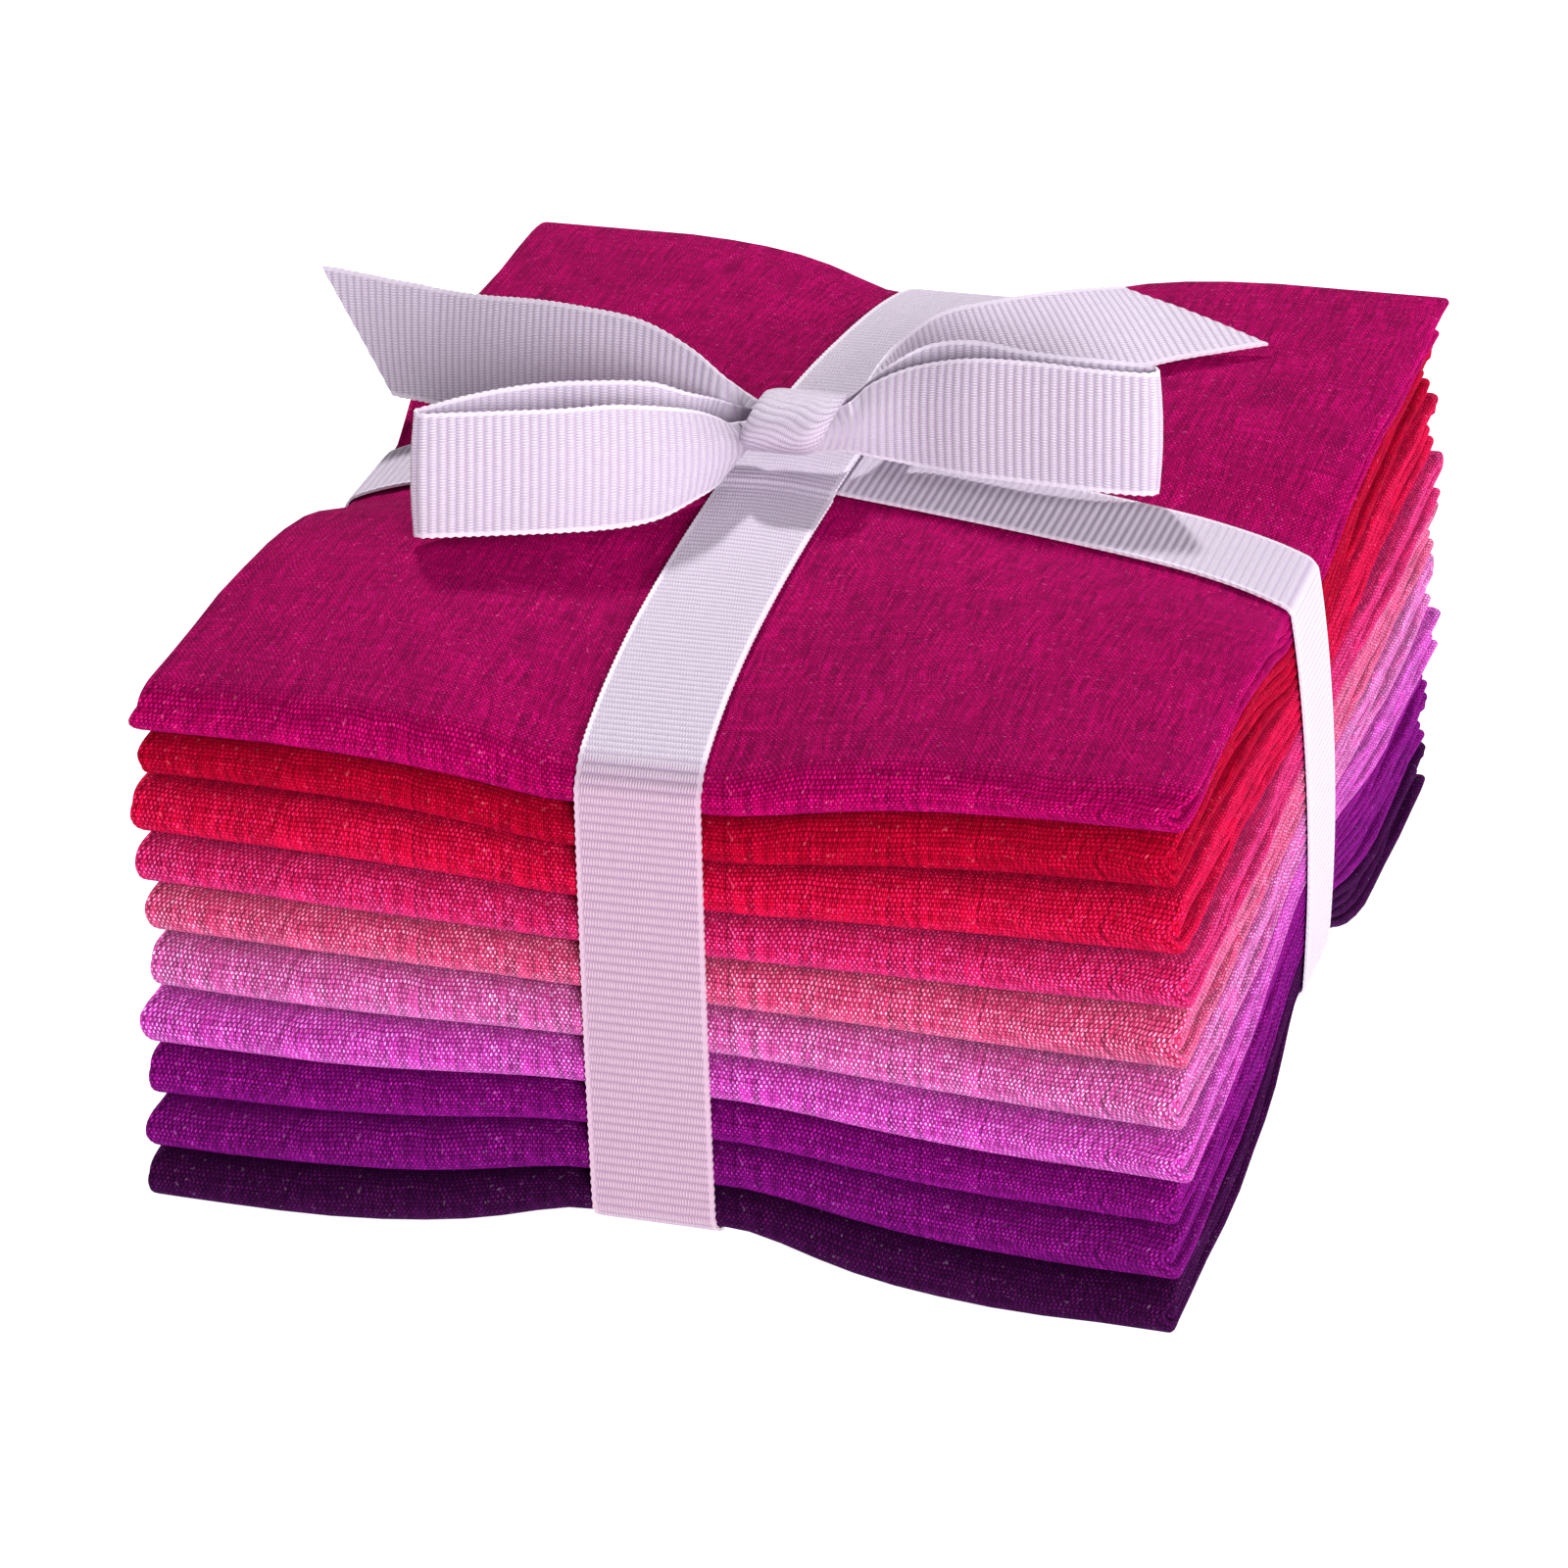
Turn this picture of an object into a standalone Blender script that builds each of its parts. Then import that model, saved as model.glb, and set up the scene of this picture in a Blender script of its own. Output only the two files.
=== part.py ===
"""Fat quarter bundle: ten folded fat quarters in a stack, tied crosswise with a grosgrain ribbon and a bow.

The script's own unit is the millimetre, turned into metres where points are placed. The front folds face
-Y, the layered ends +X. In the stack before it is tied, u runs across, v runs back and h runs up. place()
turns such a point into the tied stack, which the ribbon pinches along its two lines.
"""

import math

import bpy
from mathutils import Vector

MM = 0.001

# The folded cloth: a fat quarter is 18 by 22 inches, folded in four each way
CLOTH_WIDTH = 457.2 / 4
CLOTH_DEPTH = 558.8 / 4
HALF_WIDTH = CLOTH_WIDTH / 2
HALF_DEPTH = CLOTH_DEPTH / 2
LAYERS = 4
LAYER_STEP = 1.62
LAYER_GAP = 0.46
LAYER = LAYER_STEP - LAYER_GAP
FOLDED_HEIGHT = LAYERS * LAYER_STEP
NOSE_SEGMENTS = 5
TURN_SEGMENTS = 2
END_ROUNDING = 0.7
END_SHARE = 0.4
# How far the cloth's two free edges stop short at the back: the lowest layer's and the second one's
LOWEST_SHORT, SECOND_SHORT = 0.7, 1.6

# From the bottom up: node, colour, height at the left and right end, and how far each side is set back
# (front, left, right), all in millimetres
FABRIC_COLUMNS = ("node", "colour", "left_height", "right_height", "front", "left", "right")
FABRICS = [
    ("fat_quarter_01_aubergine", (0.036, 0.003, 0.038), 6.2, 6.1, 0.3, 0.0, 0.9),
    ("fat_quarter_02_plum", (0.155, 0.004, 0.135), 6.4, 6.7, 0.5, 0.1, 1.0),
    ("fat_quarter_03_violet", (0.185, 0.004, 0.155), 6.4, 5.4, 0.8, 0.4, 0.9),
    ("fat_quarter_04_orchid", (0.640, 0.105, 0.480), 7.3, 5.7, 0.2, 0.1, 0.0),
    ("fat_quarter_05_pink", (0.740, 0.210, 0.490), 6.7, 6.9, 0.6, 1.2, 0.8),
    ("fat_quarter_06_coral", (0.720, 0.125, 0.270), 6.1, 7.3, 0.9, 0.9, 0.9),
    ("fat_quarter_07_rose", (0.620, 0.022, 0.150), 6.2, 6.2, 0.4, 0.2, 0.3),
    ("fat_quarter_08_red", (0.590, 0.008, 0.060), 6.8, 7.2, 0.2, 0.0, 1.4),
    ("fat_quarter_09_crimson", (0.440, 0.002, 0.040), 5.6, 7.3, 0.8, 0.9, 2.2),
    ("fat_quarter_10_magenta", (0.370, 0.002, 0.115), 7.1, 6.0, 0.0, 0.1, 0.6),
]
STACK_HEIGHT = len(FABRICS) * FOLDED_HEIGHT
# How far each layer's layered end is set back, by layer from the bottom of a fat quarter up
LAYER_SET_BACK = (0.1, 0.6, 0.5, 0.0)
TOP_SET_BACK = (1.0, 1.7, 1.5, 0.0)

# The ribbon, and how its two lines pinch the stack: in the middle and at the four edges
RIBBON_WIDTH = 13.5
RIBBON = 1.0
RIBBON_CLEARANCE = 0.5
CROSSING_RISE = RIBBON + 0.4
CROSSING_RAMP = 3.4
# Corner radii of the ribbon's turns: round the front folds, round the turns at the back, and at the ends
FRONT_CORNER, BACK_CORNER, END_CORNER = 3.0, 1.4, 0.7
TOP_DIP = {"centre": 2.0, "front": 4.8, "back": 5.1, "left": 5.8, "right": 3.8}
BASE_LIFT = {"centre": 3.8, "front": 5.2, "back": 5.0, "left": 5.0, "right": 6.4}
DRAW_IN = {"front": 0.8, "back": 0.9, "left": 2.8, "right": 1.8}
PINCH_FLAT = 7.6
PINCH_REACH = {"base": 12.4, "top": 10.2}
PINCH_SPREAD = 8.5
PINCH_FLOOR = 0.125
EDGE_DROOP = 1.1
LEFT_LOWER = 0.03

# Where the ribbon's lines run on the top and on the base
LONG_TOP_MIDDLE, LONG_TOP_EDGE = -5.0, -1.5
CROSS_TOP = {"left": 1.0, "centre": 5.5, "right": -9.0}
CROSS_BASE = {"left": 0.0, "centre": 3.0, "right": 6.0}
BEND_FLAT, BEND_REACH = 8.0, 42.0

# Stations of the solids across and along the stack
ACROSS = (-41.0, -20.0, -PINCH_FLAT, PINCH_FLAT, 20.0, 41.0)
ALONG = (-41.0, -20.0, -PINCH_FLAT, PINCH_FLAT, 20.0, 41.0)

# The bow. Its loops and tails stand on one edge of the ribbon. Each row is the ribbon's width at one place,
# from the knot outwards, and for a loop back to the knot again: the lower edge's x, y and height over the
# cloth, the width, how far it leans back from upright, and how far that lean turns to the left, in degrees
LEFT_LOOP = [
    (-10.1, -1.8, 3.4, 3.6, 26, 15),
    (-10.2, -5.2, 2.7, 5.4, 26, 15),
    (-10.8, -8.4, 2.1, 7.8, 26, 15),
    (-12.2, -12.2, 1.9, 10.0, 26, 15),
    (-14.8, -16.4, 1.2, 12.3, 26, 15),
    (-18.6, -20.2, 0.8, 13.5, 26, 15),
    (-23.8, -24.2, 0.8, 13.5, 26, 15),
    (-30.0, -27.4, 0.8, 13.5, 26, 15),
    (-36.2, -30.0, 0.8, 13.5, 26, 15),
    (-38.0, -30.2, 0.8, 13.5, 26, 15),
    (-38.5, -29.2, 0.8, 13.5, 26, 15),
    (-37.6, -27.8, 0.8, 13.5, 26, 15),
    (-33.4, -22.2, 0.8, 13.5, 26, 15),
    (-28.2, -17.2, 0.8, 13.5, 26, 15),
    (-22.6, -13.8, 0.8, 13.4, 26, 15),
    (-17.6, -10.6, 0.9, 12.8, 26, 15),
    (-14.2, -6.8, 1.8, 9.8, 26, 15),
    (-12.8, -2.8, 2.8, 7.0, 26, 15),
    (-11.6, 0.4, 3.6, 4.6, 26, 15),
]
RIGHT_LOOP = [
    (1.6, 1.6, 3.4, 5.4, 26, 15),
    (4.2, 2.4, 2.7, 8.2, 26, 15),
    (9.0, 2.6, 2.1, 11.0, 26, 15),
    (15.6, 1.2, 2.1, 13.0, 26, 15),
    (22.6, 0.9, 2.1, 13.5, 26, 15),
    (29.4, 1.0, 2.0, 13.5, 26, 15),
    (34.6, 1.9, 1.8, 13.5, 26, 15),
    (36.3, 2.9, 1.7, 13.5, 26, 15),
    (36.2, 4.2, 1.6, 13.5, 26, 15),
    (34.6, 4.6, 1.8, 13.5, 26, 15),
    (28.8, 3.6, 2.1, 13.5, 26, 15),
    (22.0, 3.8, 2.1, 13.5, 26, 15),
    (15.0, 5.2, 2.1, 13.5, 26, 15),
    (9.4, 6.2, 2.1, 12.0, 26, 15),
    (4.8, 5.6, 2.8, 8.6, 26, 15),
    (1.7, 4.0, 3.4, 5.6, 26, 15),
]
LEFT_TAIL = [
    (-10.6, 3.6, 3.9, 4.4, 26, 15),
    (-13.0, 2.4, 3.0, 7.4, 26, 15),
    (-17.0, 2.8, 2.2, 10.8, 26, 15),
    (-23.0, 4.2, 2.1, 13.0, 26, 15),
    (-30.5, 6.2, 2.1, 13.5, 26, 15),
    (-39.5, 9.4, 2.0, 13.5, 26, 15),
    (-48.5, 13.2, 1.4, 13.5, 27, 16),
    (-52.5, 15.1, 1.1, 15.1, 35.5, 44),
    (-56.6, 17.0, 1.0, 17.7, 45, 58),
]
RIGHT_TAIL = [
    (1.7, 6.8, 4.0, 4.4, 30, 15),
    (3.4, 10.4, 2.9, 7.6, 34, 18),
    (5.6, 14.4, 1.2, 10.6, 38, 24),
    (10.4, 18.6, 0.8, 13.0, 43, 32),
    (17.6, 24.8, 0.8, 13.5, 53, 40),
    (24.0, 31.4, 0.8, 13.5, 62, 40),
    (30.0, 37.6, 0.8, 13.6, 71, 39),
    (35.0, 41.4, 0.8, 15.1, 73.5, 64),
    (40.0, 45.2, 0.8, 18.7, 77, 82),
]
STEPS_PER_RIB = 2
KNOT_CENTRE = (-4.4, 0.4, 68.8)
KNOT_HALF_LENGTH, KNOT_HALF_DEPTH, KNOT_HALF_HEIGHT = 4.6, 5.4, 2.9
KNOT_SLANT = 20.0
KNOT_RINGS = ((-1.0, 0.66), (-0.8, 0.90), (-0.3, 1.0), (0.3, 1.0), (0.8, 0.92), (1.0, 0.70))
KNOT_SIDES = 14


def blended(low, high, share):
    return low + (high - low) * share


def beside(distance, level):
    """How much of the pinch is felt at a distance from a ribbon's line: 1 under it, 0 far away."""
    spread = blended(PINCH_REACH["base"], PINCH_REACH["top"], level) + PINCH_SPREAD * (1 - (2 * level - 1) ** 2)
    steps = max(0.0, abs(distance) - PINCH_FLAT) / spread
    share = 1 / (1 + steps * steps)
    return max(0.0, (share - PINCH_FLOOR) / (1 - PINCH_FLOOR))


def towards_edge(table, position, half, low_side, high_side):
    side = table[high_side] if position > 0 else table[low_side]
    return blended(table["centre"], side, min(1.0, abs(position) / half) ** 3)


def pinched(table, u, v, level):
    """The depth of the pinch at a point, from the two ribbon lines together."""
    long_depth = towards_edge(table, v, HALF_DEPTH, "front", "back")
    cross_depth = towards_edge(table, u, HALF_WIDTH, "left", "right")
    long_part = long_depth * beside(u, level)
    cross_part = cross_depth * beside(v, level)
    return long_part + cross_part - long_part * cross_part / max(long_depth, cross_depth)


def bend_share(distance):
    """A line bends with its ribbon near it, and not at all at the far edges."""
    return 1 - min(1.0, max(0.0, abs(distance) - BEND_FLAT) / (BEND_REACH - BEND_FLAT))


def ribbon_line_x(v, level):
    on_top = blended(LONG_TOP_MIDDLE, LONG_TOP_EDGE, min(1.0, abs(v) / HALF_DEPTH) ** 2)
    return on_top * level


def ribbon_line_y(u, level):
    side = "right" if u > 0 else "left"
    share = min(1.0, abs(u) / HALF_WIDTH)
    on_top = blended(CROSS_TOP["centre"], CROSS_TOP[side], share)
    on_base = blended(CROSS_BASE["centre"], CROSS_BASE[side], share)
    return blended(on_base, on_top, level)


def place(u, v, h):
    """The point of the tied stack, in metres, for a point of the stack before it is tied."""
    level = min(1.0, max(0.0, h / STACK_HEIGHT))
    x = u + ribbon_line_x(v, level) * bend_share(u)
    y = v + ribbon_line_y(u, level) * bend_share(v)
    outer = 0.35 + 0.65 * (2 * level - 1) ** 2
    x -= math.copysign(
        DRAW_IN["right" if u > 0 else "left"] * beside(v, level) * outer * min(1.2, abs(u) / HALF_WIDTH) ** 4, u
    )
    y -= math.copysign(
        DRAW_IN["back" if v > 0 else "front"] * beside(u, level) * outer * min(1.2, abs(v) / HALF_DEPTH) ** 4, v
    )
    droop = EDGE_DROOP * max((abs(u) / HALF_WIDTH) ** 10, (abs(v) / HALF_DEPTH) ** 10) * level**8
    height = h * (1 - LEFT_LOWER * (HALF_WIDTH - u) / CLOTH_WIDTH)
    z = height - pinched(TOP_DIP, u, v, level) * level + pinched(BASE_LIFT, u, v, level) * (1 - level) - droop
    return Vector((x, y, z)) * MM


def top_height(x, y):
    """The height of the tied stack's top over a point, in millimetres."""
    u, v = x, y
    for _ in range(4):
        reached = place(u, v, STACK_HEIGHT) / MM
        u += x - reached.x
        v += y - reached.y
    return reached.z


def material(name, colour, roughness):
    made = bpy.data.materials.new(name)
    made.use_nodes = True
    shader = made.node_tree.nodes["Principled BSDF"]
    shader.inputs["Base Color"].default_value = (*colour, 1.0)
    shader.inputs["Roughness"].default_value = roughness
    shader.inputs["Metallic"].default_value = 0.0
    return made


def mesh_object(name, points, faces, made):
    mesh = bpy.data.meshes.new(name)
    mesh.from_pydata([tuple(p) for p in points], [], faces)
    made_object = bpy.data.objects.new(name, mesh)
    bpy.context.scene.collection.objects.link(made_object)
    mesh.materials.append(made)
    turn_outwards(mesh)
    mesh.shade_smooth()
    mesh.set_sharp_from_angle(angle=math.radians(50))
    return made_object


def folded_quad(points, quad):
    """Two triangles for a quad, along the diagonal that lies higher, so that stacked faces fold alike."""
    a, b, c, d = quad
    if points[a].z + points[c].z >= points[b].z + points[d].z:
        return [(a, b, c), (a, c, d)]
    return [(a, b, d), (b, c, d)]


def sheet_object(name, outer, inner, made, closed=False):
    """A solid sheet from two like grids of points, its outer and its inner face."""
    rows, columns = len(outer), len(outer[0])
    points = [p for row in outer for p in row] + [p for row in inner for p in row]
    shift = rows * columns
    quads = []
    for i in range(rows if closed else rows - 1):
        following = (i + 1) % rows
        for j in range(columns - 1):
            a, b = i * columns + j, i * columns + j + 1
            c, d = following * columns + j + 1, following * columns + j
            quads.append((a, b, c, d))
            quads.append((a + shift, d + shift, c + shift, b + shift))
        first, last = i * columns, following * columns
        quads.append((first, last, last + shift, first + shift))
        first, last = first + columns - 1, last + columns - 1
        quads.append((first, first + shift, last + shift, last))
    if not closed:
        for j in range(columns - 1):
            a, b = j, j + 1
            quads.append((a, a + shift, b + shift, b))
            a, b = (rows - 1) * columns + j, (rows - 1) * columns + j + 1
            quads.append((a, b, b + shift, a + shift))
    return mesh_object(name, points, [face for quad in quads for face in folded_quad(points, quad)], made)


def turn_outwards(mesh):
    """Flips all faces of a consistent closed mesh whose faces point in."""
    volume = 0.0
    mesh.calc_loop_triangles()
    for triangle in mesh.loop_triangles:
        a, b, c = (mesh.vertices[k].co for k in triangle.vertices)
        volume += a.dot(b.cross(c))
    if volume < 0:
        mesh.flip_normals()


def arc(centre, radius, start, end, segments):
    """Points of an arc in the section, each with the way out from its centre, ends left out."""
    found = []
    for step in range(1, segments):
        angle = math.radians(blended(start, end, step / segments))
        way = (math.cos(angle), math.sin(angle))
        found.append((centre[0] + radius * way[0], centre[1] + radius * way[1], *way))
    return found


def fold_path(front):
    """The back-and-forth section of a fat quarter: rows of v, h, the way outwards, and the layer it is in.

    From the free end at the back along the lowest layer, round the front fold to the top layer, back to
    the turn at the back, and forward and back again inside.
    """
    heights = [LAYER_GAP / 2 + LAYER / 2 + k * LAYER_STEP for k in range(LAYERS)]
    outer_radius = 1.5 * LAYER_STEP
    inner_radius = LAYER_STEP / 2
    middle = (heights[0] + heights[3]) / 2
    nose = front - HALF_DEPTH + outer_radius + LAYER / 2
    turn = HALF_DEPTH - inner_radius - LAYER / 2
    stations = [nose, *ALONG]
    path = [(v, heights[0], 0.0, -1.0, 0.0) for v in reversed([*stations, HALF_DEPTH - LOWEST_SHORT])]
    for v, h, way_v, way_h in arc((nose, middle), outer_radius, -90, -270, NOSE_SEGMENTS):
        path.append((v, h, way_v, way_h, 3 * (h - heights[0]) / (heights[3] - heights[0])))
    path += [(v, heights[3], 0.0, 1.0, 3.0) for v in (*stations, turn)]
    for v, h, way_v, way_h in arc((turn, heights[2] + inner_radius), inner_radius, 90, -90, TURN_SEGMENTS):
        path.append((v, h, way_v, way_h, 2.5))
    path += [(v, heights[2], 0.0, -1.0, 2.0) for v in reversed((*stations, turn))]
    for v, h, way_v, way_h in arc((nose, middle), inner_radius, 90, 270, TURN_SEGMENTS):
        path.append((v, h, -way_v, -way_h, 1.5))
    path += [(v, heights[1], 0.0, 1.0, 1.0) for v in (*stations, HALF_DEPTH - SECOND_SHORT)]
    return path


def set_back(table, layer):
    low = min(int(layer), LAYERS - 2)
    return blended(table[low], table[low + 1], layer - low)


def fat_quarter(row, base, is_top):
    """One folded fat quarter. base holds the heights of its underside at the left and right end."""
    path = fold_path(row["front"])
    table = TOP_SET_BACK if is_top else LAYER_SET_BACK
    stations = [("left", 0.0, END_SHARE), ("left", END_ROUNDING, 1.0)]
    stations += [(u, 0.0, 1.0) for u in ACROSS]
    stations += [("right", END_ROUNDING, 1.0), ("right", 0.0, END_SHARE)]
    outer, inner = [], []
    for where, inset, share in stations:
        for grid, side in ((outer, 1), (inner, -1)):
            line = []
            for v, h, way_v, way_h, layer in path:
                if where == "left":
                    u = row["left"] - HALF_WIDTH + set_back(table, 3 - layer) * 0.5 + inset
                elif where == "right":
                    u = HALF_WIDTH - row["right"] - set_back(table, layer) - inset
                else:
                    u = where
                across = (u + HALF_WIDTH) / CLOTH_WIDTH
                underside = blended(*base, across)
                stretch = blended(row["left_height"], row["right_height"], across) / FOLDED_HEIGHT
                reach = side * share * LAYER / 2
                line.append(place(u, v + way_v * reach, underside + (h + way_h * reach) * stretch))
            grid.append(line)
    return sheet_object(row["node"], outer, inner, material(row["node"], row["colour"], 0.85))


def fat_quarters():
    rows = [dict(zip(FABRIC_COLUMNS, row)) for row in FABRICS]
    left_total = sum(row["left_height"] for row in rows)
    right_total = sum(row["right_height"] for row in rows)
    left = right = 0.0
    for row in rows:
        row["left_height"] *= STACK_HEIGHT / left_total
        row["right_height"] *= STACK_HEIGHT / right_total
        fat_quarter(row, (left, right), row is rows[-1])
        left += row["left_height"]
        right += row["right_height"]


def wrap_path(half, along, radii):
    """The ribbon's way round the stack's section: rows of position, height and the way outwards.

    radii are those of the corners: top and base at the low side, then base and top at the high side.
    """
    top, base = STACK_HEIGHT - LAYER_GAP / 2, LAYER_GAP / 2
    top_low, base_low, base_high, top_high = radii
    levels = [blended(base, top, share) for share in (0.25, 0.5, 0.75)]
    path = [(a, top, 0.0, 1.0) for a in (*reversed(along), -half + top_low)]
    path += arc((-half + top_low, top - top_low), top_low, 90, 180, 3)
    path += [(-half, h, -1.0, 0.0) for h in (top - top_low, *reversed(levels), base + base_low)]
    path += arc((-half + base_low, base + base_low), base_low, 180, 270, 3)
    path += [(a, base, 0.0, -1.0) for a in (-half + base_low, *along, half - base_high)]
    path += arc((half - base_high, base + base_high), base_high, -90, 0, 3)
    path += [(half, h, 1.0, 0.0) for h in (base + base_high, *levels, top - top_high)]
    path += arc((half - top_high, top - top_high), top_high, 0, 90, 3)
    path.append((half - top_high, top, 0.0, 1.0))
    return path


def ribbon_round(name, path, runs_back, bump_on_top, made):
    """The ribbon once round the stack, rising where it crosses the other turn."""
    outer, inner = [], []
    for a, h, way_a, way_h in path:
        bumps = way_h > 0.9 if bump_on_top else way_h < -0.9
        rise = CROSSING_RISE if bumps and abs(a) < PINCH_FLAT + 0.1 else 0.0
        for grid, reach in ((outer, RIBBON_CLEARANCE + RIBBON + rise), (inner, RIBBON_CLEARANCE + rise)):
            line = []
            for side in (-0.5, 0.5):
                across, along, up = side * RIBBON_WIDTH, a + way_a * reach, h + way_h * reach
                line.append(place(across, along, up) if runs_back else place(along, across, up))
            grid.append(line)
    return sheet_object(name, outer, inner, made, closed=True)


def ribbons(made):
    beyond = PINCH_FLAT + CROSSING_RAMP
    along = (*ALONG[:2], -beyond, *ALONG[2:4], beyond, *ALONG[4:])
    across = (*ACROSS[:2], -beyond, *ACROSS[2:4], beyond, *ACROSS[4:])
    corners = (FRONT_CORNER, FRONT_CORNER, END_CORNER, BACK_CORNER)
    ribbon_round("ribbon_long_way", wrap_path(HALF_DEPTH, along, corners), True, True, made)
    ribbon_round("ribbon_cross_way", wrap_path(HALF_WIDTH, across, (END_CORNER,) * 4), False, False, made)


def curve_through(rows, steps):
    """Rows on a smooth curve through the given ones."""
    found = []
    last = len(rows) - 1
    for k in range(last):
        before, after = rows[max(k - 1, 0)], rows[min(k + 2, last)]
        for step in range(steps):
            t = step / steps
            found.append(
                tuple(
                    ((2 * b) + (c - a) * t + (2 * a - 5 * b + 4 * c - d) * t**2 + (3 * b - a - 3 * c + d) * t**3) / 2
                    for a, b, c, d in zip(before, rows[k], rows[k + 1], after)
                )
            )
    return [*found, rows[last]]


def bow_strip(name, rows, made):
    """A loop or a tail: the ribbon standing on its lower edge, run through the rows of its ribs."""
    ribs = []
    for x, y, rise, width, lean, turn in curve_through(rows, STEPS_PER_RIB):
        low = Vector((x, y, top_height(x, y) + rise))
        aside, back = math.sin(math.radians(turn)), math.cos(math.radians(turn))
        flat = math.sin(math.radians(lean))
        way = Vector((-aside * flat, back * flat, math.cos(math.radians(lean))))
        ribs.append((low, low + way * width))
    outer, inner = [], []
    for k, (low, high) in enumerate(ribs):
        before, after = ribs[max(k - 1, 0)], ribs[min(k + 1, len(ribs) - 1)]
        ahead = sum(after, Vector()) - sum(before, Vector())
        normal = ahead.cross(high - low).normalized()
        for grid, side in ((outer, 0.5), (inner, -0.5)):
            grid.append([(point + normal * side * RIBBON) * MM for point in (low, high)])
    return sheet_object(name, outer, inner, made)


def knot(name, made):
    """The ribbon's turn round the middle of the bow, a slanted barrel."""
    middle = Vector(KNOT_CENTRE)
    slant = math.tan(math.radians(KNOT_SLANT))
    points, faces = [], []
    for along, share in KNOT_RINGS:
        for side in range(KNOT_SIDES):
            angle = 2 * math.pi * side / KNOT_SIDES
            depth = KNOT_HALF_DEPTH * share * math.cos(angle)
            height = KNOT_HALF_HEIGHT * share * math.sin(angle)
            offset = Vector((KNOT_HALF_LENGTH * along + slant * height, depth, height))
            points.append((middle + offset) * MM)
    for ring in range(len(KNOT_RINGS) - 1):
        for side in range(KNOT_SIDES):
            a, b = ring * KNOT_SIDES + side, ring * KNOT_SIDES + (side + 1) % KNOT_SIDES
            faces.append((a, b, b + KNOT_SIDES, a + KNOT_SIDES))
    faces.append(tuple(reversed(range(KNOT_SIDES))))
    faces.append(tuple(range(len(points) - KNOT_SIDES, len(points))))
    return mesh_object(name, points, faces, made)


def centre_on_floor():
    """Moves the part so that the middle of its box is on the origin, and its lowest point on z = 0."""
    meshes = [thing.data for thing in bpy.data.objects]
    points = [vertex.co for mesh in meshes for vertex in mesh.vertices]
    lows = [min(p[axis] for p in points) for axis in range(3)]
    highs = [max(p[axis] for p in points) for axis in range(3)]
    shift = Vector(((lows[0] + highs[0]) / 2, (lows[1] + highs[1]) / 2, lows[2]))
    for mesh in meshes:
        for vertex in mesh.vertices:
            vertex.co -= shift


def main():
    for old in list(bpy.data.objects):
        bpy.data.objects.remove(old)
    ribbon = material("grosgrain_ribbon", (0.72, 0.62, 0.74), 0.6)
    fat_quarters()
    ribbons(ribbon)
    knot("bow_knot", ribbon)
    bow_strip("bow_loop_left", LEFT_LOOP, ribbon)
    bow_strip("bow_loop_right", RIGHT_LOOP, ribbon)
    bow_strip("bow_tail_left", LEFT_TAIL, ribbon)
    bow_strip("bow_tail_right", RIGHT_TAIL, ribbon)
    centre_on_floor()


main()
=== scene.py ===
"""Looks for the fat quarter bundle: ten folded fat quarters tied crosswise with a grosgrain ribbon and a bow.

Lengths are in millimetres until points are placed, and metres after that. In the stack before it is tied, u
runs across, v runs back and h runs up, with the front folds at -v and the layered ends at +u. place() turns
such points into the tied stack in the frame, exactly as part.py does.
"""

import math

import bmesh
import bpy
import numpy as np
from mathutils import Matrix, Vector


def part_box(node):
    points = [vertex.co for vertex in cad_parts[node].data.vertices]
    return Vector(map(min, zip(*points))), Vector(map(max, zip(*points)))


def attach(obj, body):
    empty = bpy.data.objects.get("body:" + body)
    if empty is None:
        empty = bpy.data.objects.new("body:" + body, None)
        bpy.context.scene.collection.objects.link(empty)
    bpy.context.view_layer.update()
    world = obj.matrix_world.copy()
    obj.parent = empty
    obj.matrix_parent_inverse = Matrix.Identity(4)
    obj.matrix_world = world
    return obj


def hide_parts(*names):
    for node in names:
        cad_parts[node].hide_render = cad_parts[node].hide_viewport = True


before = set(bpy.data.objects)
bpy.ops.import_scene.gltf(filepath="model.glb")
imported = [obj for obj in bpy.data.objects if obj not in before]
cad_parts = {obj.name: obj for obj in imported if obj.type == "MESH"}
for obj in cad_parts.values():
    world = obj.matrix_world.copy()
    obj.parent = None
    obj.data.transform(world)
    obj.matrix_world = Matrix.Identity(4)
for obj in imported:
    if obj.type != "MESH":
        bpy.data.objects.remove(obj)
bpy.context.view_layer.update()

MM = 0.001

# The folded cloth, as in part.py: a fat quarter is 18 by 22 inches, folded in four each way
CUT_WIDTH, CUT_DEPTH = 457.2, 558.8
CLOTH_WIDTH = CUT_WIDTH / 4
HALF_WIDTH = CUT_WIDTH / 8
HALF_DEPTH = CUT_DEPTH / 8
LAYERS = 4
LAYER_STEP = 1.62
FOLDED_HEIGHT = LAYERS * LAYER_STEP
EDGE_DROOP = 1.1
LEFT_LOWER = 0.03

# Within a layer, the cloth's own four plies
PLY_STEP = 0.355
CLOTH = 0.27
# The front fold's rounding at its top and foot, and how far its face leans in each half, in degrees
FOLD_CORNER, FOLD_LEAN = 2.3, 17
PLY_CORNER, PLY_LEAN = 0.46, 20
# How far a fold's left end curves back at its top and foot, and how far up its furthest point is
LEFT_ROUND, LEFT_ROUND_TOP = (1.9, 0.5), (2.8, 0.3)
# How far the front fold's right end is rounded, seen from above
RIGHT_CORNER = 1.0
# Each folded fat quarter takes up this share of its height, and pieces end this far in at a ribbon's line
SQUEEZE = 0.96
FLUSH = {"front": 0.35, "left": 0.25, "right": 0.25}

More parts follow.
